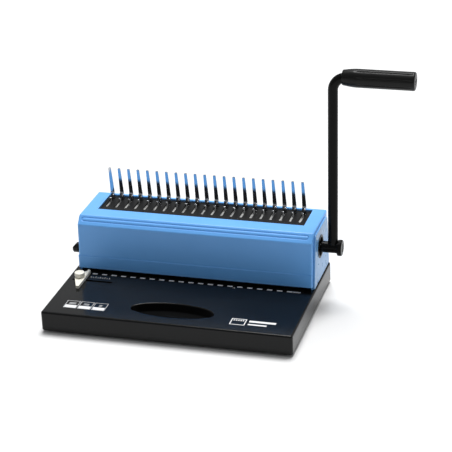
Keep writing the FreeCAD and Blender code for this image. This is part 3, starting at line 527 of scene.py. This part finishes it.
def band_step(z):
    """How far the band at the cover's foot stands proud at a height."""
    if z >= BAND_TOP:
        return 0.0
    return BAND_STEP * math.sqrt(max(0.0, 1 - (max(z - BAND_TURN, 0.0) / BAND_FILLET) ** 2))


def cover_ring(x, inset):
    """The cover's outer section at an x, pulled in by an inset, with the band and the bevel's grooves."""
    points = [Vector(p) for p in FRONT_LINE]
    lines = []
    for start, end in zip(points, points[1:]):
        run = (end - start).normalized()
        lines.append((start + Vector((run.y, -run.x)) * inset, run))
    corners = [Vector((points[0].x + inset, points[0].y))]
    corners += [meet(*lines[i], *lines[i + 1]) for i in range(len(lines) - 1)]
    corners.append(Vector((points[-1].x - inset, points[-1].y)))
    ring = [tuple(corners[0])]
    heights = [0.9, 1.5, 2.2, 3.1, 5.0, 11.0, 17.0, 21.0, 22.6]
    heights += [BAND_TURN + BAND_FILLET * math.sin(math.pi / 2 * k / 7) for k in range(8)]
    ring += [(corners[0].x, z) for z in heights]
    for index, straight in STRAIGHT_STEPS.items():
        last, here, following = corners[index - 1], corners[index], corners[index + 1]
        back, ahead_of = (last - here).normalized(), (following - here).normalized()
        half = back.angle(ahead_of) / 2
        radius = max(CORNER_ROUND[index] - inset, 0.35)
        reach = radius / math.tan(half)
        centre = here + (back + ahead_of).normalized() * (radius / math.sin(half))
        start, end = here + back * reach, here + ahead_of * reach
        previous = Vector(ring[-1])
        for k in range(1, straight):
            ring.append(tuple(previous.lerp(start, k / straight)))
        ring += arc(centre, start, end, radius, 8)
    bottom = corners[-1]
    previous = Vector(ring[-1])
    ring += [tuple(previous.lerp(bottom, k / 4)) for k in range(1, 5)]
    made = []
    bevel_start = corners[2]
    run = (corners[3] - corners[2]).normalized()
    inwards = Vector((run.y, -run.x))
    middle, reach = (GROOVE_LEFT + GROOVE_RIGHT) / 2, (GROOVE_RIGHT - GROOVE_LEFT) / 2 - GROOVE_HALF
    for y, z in ring:
        spot = Vector((y, z))
        if y < 150:
            spot.x -= band_step(z)
        along, off = (spot - bevel_start).dot(run), (spot - bevel_start).dot(inwards)
        if 1.0 < along < 16.0 and abs(off) < 0.6:
            away = math.hypot(max(abs(x - middle) - reach, 0.0), along - GROOVE_T)
            dip = GROOVE_DEEP * math.exp(-((away - GROOVE_HALF) / 0.62) ** 2)
            swell = 0.35 * (0.5 + 0.5 * math.cos(math.pi * min(away / GROOVE_HALF, 1.0)))
            spot += inwards * (dip - swell)
        made.append((x, spot.x, spot.y))
    return made


def banded_end(ring):
    """The left end's ring with the band carried round it and its lower corner rounded."""
    made = []
    for x, y, z in ring:
        low = max(0.0, 3.0 - z) / 3.0
        made.append((x - band_step(z) + 2.2 * (1 - math.sqrt(max(0.0, 1 - low * low))), y, z))
    return made


def rounded_end(end, side):
    """Places and insets of the cover's rounded end, from the end inwards."""
    turns = [math.pi / 2 * k / 6 for k in range(7)]
    return [(end + side * END_ROUND * (1 - math.cos(t)), END_ROUND * (1 - math.sin(t))) for t in turns]


def cover_look():
    low, high = span("top_cover")
    left, right_end = low.x, high.x
    fine = [k * 0.5 for k in range(16)]
    middle = [GROOVE_LEFT - 1.0 + f for f in fine] + [-150 + 30 * k for k in range(11)]
    middle += [GROOVE_RIGHT + 1.0 - f for f in reversed(fine)]
    rings = [banded_end(cover_ring(x, inset)) for x, inset in rounded_end(left, 1)]
    rings += [cover_ring(x, 0.0) for x in middle]
    rings += [cover_ring(x, inset) for x, inset in reversed(rounded_end(right_end, -1))]
    wall = 2.2
    inner = [(133.9 + wall + 0.2, -1), (133.9 + wall + 0.2, 24.3), (137 + wall, 70.4), (148.9, 80.0),
             (229.4, 80.0), (229.4, -1)]
    window = rounded([(-148.4, 171.2), (154.5, 171.2), (154.5, 225.4), (-148.4, 225.4)], 1.2, 4)
    cuts = [
        prism(inner, "x", left + wall, right_end - left - 2 * wall),
        prism(window, "z", 76, 10),
        box((left - 1, 128, -1), (right_end + 1, 138.1, 5.2)),
        lathe([(right_end - 4, SHAFT_HOLE), (right_end + 1, SHAFT_HOLE)], "x", SHAFT_Y, SHAFT_Z, 64),
        lathe([(left - 1, MARGIN_HOLE), (left + 4, MARGIN_HOLE)], "x", MARGIN_Y, MARGIN_Z, 24),
    ]
    piece("top_cover_look", loft(rings), "machine", "cover_paint", ["top_cover"], cuts=cuts, sharp=38)


def cheek_look(side):
    """A blue end plate; the right one has the shaft's opening with a chamfered rim."""
    node = f"cheek_{side}"
    low, high = span(node)
    outline = [(138.5, 1.0), (148.5, 70.0), (152.0, 77.2), (222.0, 77.2), (229.6, 5.2), (229.6, 1.0)]
    shape = prism(rounded(outline, [2.0, 5.0, 5.0, 6.0, 3.0, 2.0], 6), "x", low.x, high.x - low.x)
    if side == "right":
        hole = lathe([(low.x - 1, SHAFT_HOLE), (high.x + 1, SHAFT_HOLE)], "x", SHAFT_Y, SHAFT_Z, 72)
        chamfer = [(high.x - 0.9, 14.4), (high.x + 0.01, 15.4), (high.x + 1, 16.4)]
        rim = lathe(chamfer, "x", SHAFT_Y, SHAFT_Z, 72)
        notch = box((low.x - 1, 156.0, 0), (high.x + 1, 160.5, 5.0))
        cuts = [hole, rim, notch]
    else:
        cuts = [lathe([(low.x - 1, MARGIN_HOLE), (high.x + 1, MARGIN_HOLE)], "x", MARGIN_Y, MARGIN_Z, 32)]
    piece(f"{node}_look", shape, "machine", "cheek_plastic", [node], soften=0.75, segments=4, cuts=cuts)


def shade_sleeve(name, rings, segments):
    """A black ring round the lever's shaft, from its closed section, black to stand for the shade in the
    opening.
    """
    verts, faces = lathe(rings + rings[:1], "x", SHAFT_Y, SHAFT_Z, segments)
    piece(name, (verts, faces[2:]), "machine", "black_plastic")


def hub_shade_sleeves_look():
    """Painted shade round the hub: a black liner behind the cover wall stands for the shade inside the cover,
    and a black collar in the opening, a bush with a flange, also hides the lit wall of the hole, so that the
    hub runs into the dark.
    """
    start, end, outer, inner, wall = 161.2, 170.6, 15.6, 10.4, 0.9
    # painted shade: a black liner where the inside of the cover is only in shade
    shade_sleeve("hub_shade_liner", [(start, inner), (start, outer), (end, outer), (end, outer - wall),
                        (start + 1.2, outer - wall), (start + 1.2, inner)], 56)
    # a black bush and flange; its black bore also stands for the shade in the opening
    face, back, bore, flange = span("cheek_right")[1].x, 171.0, 13.6, 16.6
    fit = SHAFT_HOLE - 0.05
    shade_sleeve("hub_collar", [(back, bore), (face + 0.5, bore), (face + 0.7, bore + 0.3),
                          (face + 0.7, flange - 0.4), (face + 0.4, flange), (face, flange),
                          (face - 1.0, fit), (back, fit)], 72)


# ---------------------------------------------------------------- comb unit
def tines_look():
    """Upright tines, leaning forward above the cover and narrowing on one side to a slanted tip."""
    low, high = span("tines")
    thick, half = high.y - low.y, 3.0
    top, bend = high.z + 1.4, 90.0
    lean, more = math.tan(math.radians(3.8)), math.tan(math.radians(2.6)) / (2 * (high.z - bend))
    levels = [(low.z, -half, half), (bend, -half, half)]
    levels += [(bend + (top - 1.0 - bend) * k / 8, -half - 0.1, half - 2.0 * k / 8) for k in range(1, 9)]
    levels += [(top - 0.5, -2.95, 0.85), (top - 0.15, -2.6, 0.5), (top, -2.0, -0.1)]
    rings = []
    for z, left, right_edge in levels:
        rise = max(0.0, z - bend)
        y = low.y - rise * lean - rise * rise * more
        rings.append([(left, y, z), (right_edge, y, z), (right_edge, y + thick, z), (left, y + thick, z)])
    shapes = [shifted(loft(rings), x) for x in FINGER_X]
    piece("tines_look", merged(*shapes), "machine", "comb_chrome", ["tines"], soften=0.25, segments=3, sharp=24,
          finish=metal("tine_steel", (0.50, 0.515, 0.535), 0.10, (1, 1, 0.2), relief=6e-7, stain=0.1))
    low, high = span("tine_tabs")
    tab = prism([(-half, low.z), (half, low.z), (half, high.z), (-half, high.z)], "y", low.y, high.y - low.y)
    piece("tine_tabs_look", merged(*[shifted(tab, x) for x in FINGER_X]), "machine", "comb_chrome",
          ["tine_tabs"], soften=0.45, segments=3)


def hooks_look():
    """The hooks that reach up through the comb plate; their plate is duller zinc."""
    zinc = metal("hook_zinc", (0.50, 0.50, 0.49), 0.45, (1, 0.15, 1), stain=0.4)
    NODES["hook_plate"].data.materials[0] = zinc
    low, high = span("hooks")
    front, back = low.y, high.y
    side = [(back, low.z), (back, high.z - 2.4), (back - 0.9, high.z - 0.8), (front - 1.3, high.z),
            (front - 2.0, high.z - 0.9), (front, high.z - 2.9), (front, low.z)]
    shape = prism(rounded(side, [0, 0.8, 0.8, 0.3, 0.3, 1.2, 0], 4), "x", -1.5, 3.0)
    piece("hooks_look", merged(*[shifted(shape, x) for x in FINGER_X]), "hook_unit", "comb_chrome", ["hooks"],
          soften=0.3, segments=2, sharp=40)


# ---------------------------------------------------------------- lever
LEAN_TURN = Matrix.Rotation(-math.radians(2.6), 3, "X")
LEVER_HEIGHT, TUBE = 246.9, 6.9


def leaned(shape):
    """The lever at rest leans back a little about its shaft."""
    return turned(shape, LEAN_TURN, (0.0, SHAFT_Y, SHAFT_Z))


def lever_look():
    """The bent tube, the hub that it is welded to, and the ribbed cap on the hub's end."""
    x0, bend, steps = 193.6, 18.5, 14
    elbow = SHAFT_Z + LEVER_HEIGHT - bend
    path = [(x0, SHAFT_Z + 5.5 + 6 * k) for k in range(38)] + [(x0, elbow)]
    for k in range(1, steps + 1):
        turn = math.pi / 2 * k / steps
        path.append((x0 + bend - bend * math.cos(turn), elbow + bend * math.sin(turn)))
    path += [(x0 + bend + step, SHAFT_Z + LEVER_HEIGHT) for step in (6.0, 20.0, 50.0)]
    rings = []
    for i, (x, z) in enumerate(path):
        before, after = path[max(i - 1, 0)], path[min(i + 1, len(path) - 1)]
        run = Vector((after[0] - before[0], after[1] - before[1])).normalized()
        out = Vector((run.y, -run.x))
        radius = TUBE + (0.5 if i == 0 else 0.0)
        ring = []
        for k in range(36):
            turn = 2 * math.pi * k / 36
            ring.append((x + out.x * radius * math.cos(turn), SHAFT_Y + radius * math.sin(turn),
                         z + out.y * radius * math.cos(turn)))
        rings.append(ring)
    piece("lever_arm_look", leaned(loft(rings)), "lever", "lever_black", ["lever_arm"], sharp=50)
    low, high = span("lever_hub")
    inward = 0.7
    barrel = lathe(eased(low.x, high.x - inward, 8.0, 0.8, neck=4.05), "x", SHAFT_Y, SHAFT_Z, 56)
    piece("lever_hub_look", barrel, "lever", "lever_black", ["lever_hub"])
    low, high = span("lever_end_cap")
    start, end, wide = low.x - inward, high.x - 1.2, 11.4
    ribbed = lambda angle, along: 1 - 0.03 * (0.5 + 0.5 * math.cos(36 * angle)) \
        * (1.0 if start + 1.2 < along < end - 1.4 else 0.0)
    profile = [(start, POINT), (start, wide - 0.9), (start + 0.3, wide - 0.4), (start + 0.9, wide - 0.1)]
    profile += [(start + 1.25 + (end - start - 2.9) * k / 6, wide) for k in range(7)]
    profile += [(end - 1.2, wide - 0.05), (end - 0.6, wide - 0.3), (end - 0.15, wide - 0.9),
                (end, wide - 1.7), (end, 6.0), (end - 0.5, 5.6), (end - 0.5, POINT)]
    piece("lever_end_cap_look", lathe(profile, "x", SHAFT_Y, SHAFT_Z, 216, ribbed), "lever", "lever_black",
          ["lever_end_cap"])


def grip_look():
    """The round grip, its front end tapered, with eight narrow flutes and a plug in its end."""
    start, end, top = 207.0, 305.6, SHAFT_Z + LEVER_HEIGHT
    radius, neck = 12.78, 10.6

    def flutes(angle, along):
        fade = max(0.0, min(1.0, (along - start - 17.0) / 9.0)) * max(0.0, min(1.0, (end - 3.2 - along) / 1.6))
        ripple = math.cos(8 * (angle - math.radians(164)))
        return 1 - 0.075 * max(0.0, ripple) ** 8 * fade

    bore = TUBE + 0.05
    profile = [(start + 9.0, bore), (start + 0.2, bore), (start, bore + 0.45), (start, neck - 0.9),
               (start + 0.3, neck - 0.3), (start + 1.0, neck)]
    for k in range(1, 13):
        t = k / 12
        ease = math.sin(math.pi / 2 * t)
        profile.append((start + 1.0 + 21.0 * t, neck + (radius - neck) * ease))
    profile += [(start + 24.0 + 4.45 * k, radius) for k in range(16)]
    profile += [(end - 3.0, radius), (end - 2.0, radius - 0.1), (end - 1.1, radius - 0.45),
                (end - 0.4, radius - 1.1), (end, radius - 2.0), (end, 4.7), (end - 0.3, 4.4), (end - 3.0, 4.3),
                (end - 3.0, POINT)]
    verts, faces = lathe(profile, "x", SHAFT_Y, top, 192, flutes)
    piece("handle_grip_look", leaned((verts, faces[1:])), "lever", "grip_rubber", ["handle_grip"], sharp=40)
    low, high = span("grip_plug")
    plug = [(low.x, POINT), (low.x, 4.15), (high.x - 0.5, 4.15), (high.x - 0.15, 4.0), (high.x, 3.6),
            (high.x - 0.1, 1.6), (high.x - 0.8, 1.3), (high.x - 0.8, POINT)]
    piece("grip_plug_look", leaned(lathe(plug, "x", SHAFT_Y, top, 40)), "lever", "black_plastic", ["grip_plug"])


# ---------------------------------------------------------------- guides and knobs
def guide_look():
    """The cream edge guide with its raised rib, its tongue in the slot, and its knurled knob."""
    edge = -149.2
    outline = [(edge - 4.0, 76.5), (edge, 77.0), (edge, SLOT_Y + 1.0), (edge, 128.0), (edge - 3.2, 128.4),
               (edge - 15.2, 108.0), (edge - 14.6, 101.0)]
    upper = prism(rounded(outline, [1.2, 1.0, 0, 1.0, 1.0, 4.0, 4.0], 5), "z", 0.2, 4.8)
    tongue = box((edge - 12.5, 103.0, -1.6), (edge - 0.5, 107.0, 0.4))
    step = prism(rounded([(edge - 6.5, 103.0), (edge - 0.4, 103.0), (edge - 0.4, 127.2), (edge - 3.4, 127.8)],
                         [0.5, 0.6, 0.8, 0.8], 4), "z", 5.0, 0.9)
    bore = lathe([(-4.0, 2.06), (9.0, 2.06)], "z", GUIDE_KNOB_X, SLOT_Y, 32)
    piece("edge_guide_look", upper, "guide", "guide_ivory", ["edge_guide"], soften=0.45, segments=3,
          cuts=[bore])
    piece("edge_guide_rib", merged(step, tongue), "guide", "guide_ivory", soften=0.3)
    low, high = span("edge_guide_knob")
    top, under, radius = high.z + 0.8, 5.3, 7.2
    profile = [(low.z, POINT), (low.z, 1.7), (low.z + 0.3, 2.0), (under - 0.05, 2.0), (under, 2.2),
               (under, 5.6),
               (under + 0.25, 6.1), (under + 1.0, 6.2), (under + 1.3, radius - 0.1), (under + 1.7, radius),
               (top - 1.1, radius), (top - 0.5, radius - 0.2), (top - 0.12, radius - 0.7), (top, radius - 1.5),
               (top - 0.12, radius - 3.0), (top - 0.2, POINT)]
    knurl = lambda angle, along: 1 - (0.02 * (0.5 + 0.5 * math.cos(30 * angle))
                                      if under + 1.6 < along < top - 1.0 else 0.0)
    knob = lathe(profile, "z", GUIDE_KNOB_X, SLOT_Y, 120, knurl)
    piece("edge_guide_knob_look", knob, "guide_knob", "guide_ivory", ["edge_guide_knob"])


def margin_look():
    """The lobed margin knob, bored for its shaft, with a slope cut across its outer end."""
    low, high = span("margin_knob")
    wings = lambda angle, along: 1 - 0.05 * (0.5 + 0.5 * math.cos(9 * angle + math.pi))
    bore = lathe([(low.x + 5, 3.0), (high.x + 1, 3.0)], "x", MARGIN_Y, MARGIN_Z, 32)
    slope = prism([(low.x - 1, 30.0), (low.x + 8.0, 39.0), (low.x - 1, 39.0)], "y", 138, 24)
    barrel = lathe(eased(low.x, high.x, 7.5, 1.6, 6), "x", MARGIN_Y, MARGIN_Z, 108, wings)
    piece("margin_knob_look", barrel, "margin", "black_plastic", ["margin_knob"], cuts=[bore, slope])


# ---------------------------------------------------------------- screws
def apart(spot, axis):
    """A place's coordinate along an axis, and its two others."""
    x, y, z = spot
    return {"x": (x, (y, z)), "y": (y, (x, z)), "z": (z, (x, y))}[axis]


def screw_shape(spot, axis, outward, shank):
    """A pan head with its seat at the spot and a plain shank behind it."""
    seat, (a, b) = apart(spot, axis)
    head = [(-shank, POINT), (-shank, 1.6), (-shank + 0.4, 2.0), (0.0, 2.0), (0.0, 3.55), (0.6, 3.6),
            (1.1, 3.4), (1.5, 2.9), (1.72, 2.2), (1.78, POINT)]
    return lathe([(seat + outward * t, r) for t, r in head], axis, a, b, 28)


def cross_shape(spot, axis, outward):
    """The two cutters of a head's cross recess."""
    seat, (a, b) = apart(spot, axis)
    long, short, floor, reach = 2.6, 0.55, 0.9, 1.6
    bars = []
    for p, q in ((long, short), (short, long)):
        outline = [(a - p, b - q), (a + p, b - q), (a + p, b + q), (a - p, b + q)]
        bars.append(prism(outline, axis, seat + outward * floor, outward * reach))
    return bars


def screws_look():
    rear = [(x, REAR_Y, 14.0) for x in (-110.0, -40.0, 40.0, 110.0)]
    seat, shank = span("bottom_plate")[0].z, 4.0
    under = [(x, y, seat) for x in (-120.0, 120.0) for y in (24.0, 210.0)]
    for name, places, axis, outward in (("cover_screws", rear, "y", 1.0), ("base_screws", under, "z", -1.0)):
        shapes = [screw_shape(spot, axis, outward, shank) for spot in places]
        cutters = [bar for spot in places for bar in cross_shape(spot, axis, outward)]
        piece(f"{name}_look", merged(*shapes), "machine", "screw_zinc", [name],
              cuts=[merged(*cutters[0::2]), merged(*cutters[1::2])])


base_look()
recess_look()
prints_look()
cover_look()
cheek_look("right")
cheek_look("left")
hub_shade_sleeves_look()
tines_look()
hooks_look()
lever_look()
grip_look()
guide_look()
margin_look()
screws_look()


# ---------------------------------------------------------------- studio
FLOOR_HALF, FLOOR_WHITE, FLOOR_TINT = 9.0, 0.73, 0.74
SKY_COLOUR, SKY_FRONT, SKY_BACK = (0.97, 0.985, 1.0, 1.0), 0.30, 0.56
SUN_ENERGY, SUN_SIZE, SUN_TOWARD = 3.9, math.radians(30.0), Vector((0.0, -0.34, -1.0))


def pale_floor():
    mesh = bpy.data.meshes.new("floor")
    corners = [(-FLOOR_HALF, -FLOOR_HALF, 0), (FLOOR_HALF, -FLOOR_HALF, 0), (FLOOR_HALF, FLOOR_HALF, 0),
               (-FLOOR_HALF, FLOOR_HALF, 0)]
    mesh.from_pydata(corners, [], [(0, 1, 2, 3)])
    floor = bpy.data.objects.new("floor", mesh)
    bpy.context.scene.collection.objects.link(floor)
    surface = Finish("floor_white", (FLOOR_WHITE,) * 3, 0.9, specular=0.0)
    surface.tint(surface.ranged(surface.noise(2.0), 0.0, 1.0), (FLOOR_TINT,) * 3)
    floor.data.materials.append(surface.material)


def graded_sky():
    """A soft white room, brighter behind the machine than in front of it."""
    world = bpy.data.worlds.new("studio")
    world.use_nodes = True
    nodes, links = world.node_tree.nodes, world.node_tree.links
    background = nodes["Background"]
    background.inputs["Color"].default_value = SKY_COLOUR
    toward = nodes.new("ShaderNodeSeparateXYZ")
    links.new(nodes.new("ShaderNodeTexCoord").outputs["Generated"], toward.inputs["Vector"])
    glow = nodes.new("ShaderNodeMapRange")
    for name, number in (("From Min", -0.7), ("From Max", 0.8), ("To Min", SKY_FRONT), ("To Max", SKY_BACK)):
        glow.inputs[name].default_value = number
    links.new(toward.outputs["Y"], glow.inputs["Value"])
    links.new(glow.outputs["Result"], background.inputs["Strength"])
    bpy.context.scene.world = world


def soft_sun():
    """One wide soft light from above and a little behind."""
    data = bpy.data.lights.new("top_light", "SUN")
    data.energy, data.angle = SUN_ENERGY, SUN_SIZE
    light = bpy.data.objects.new("top_light", data)
    light.rotation_mode = "QUATERNION"
    light.rotation_quaternion = SUN_TOWARD.to_track_quat("-Z", "Y")
    bpy.context.scene.collection.objects.link(light)


pale_floor()
graded_sky()
soft_sun()
bpy.context.scene.view_settings.view_transform = "Standard"
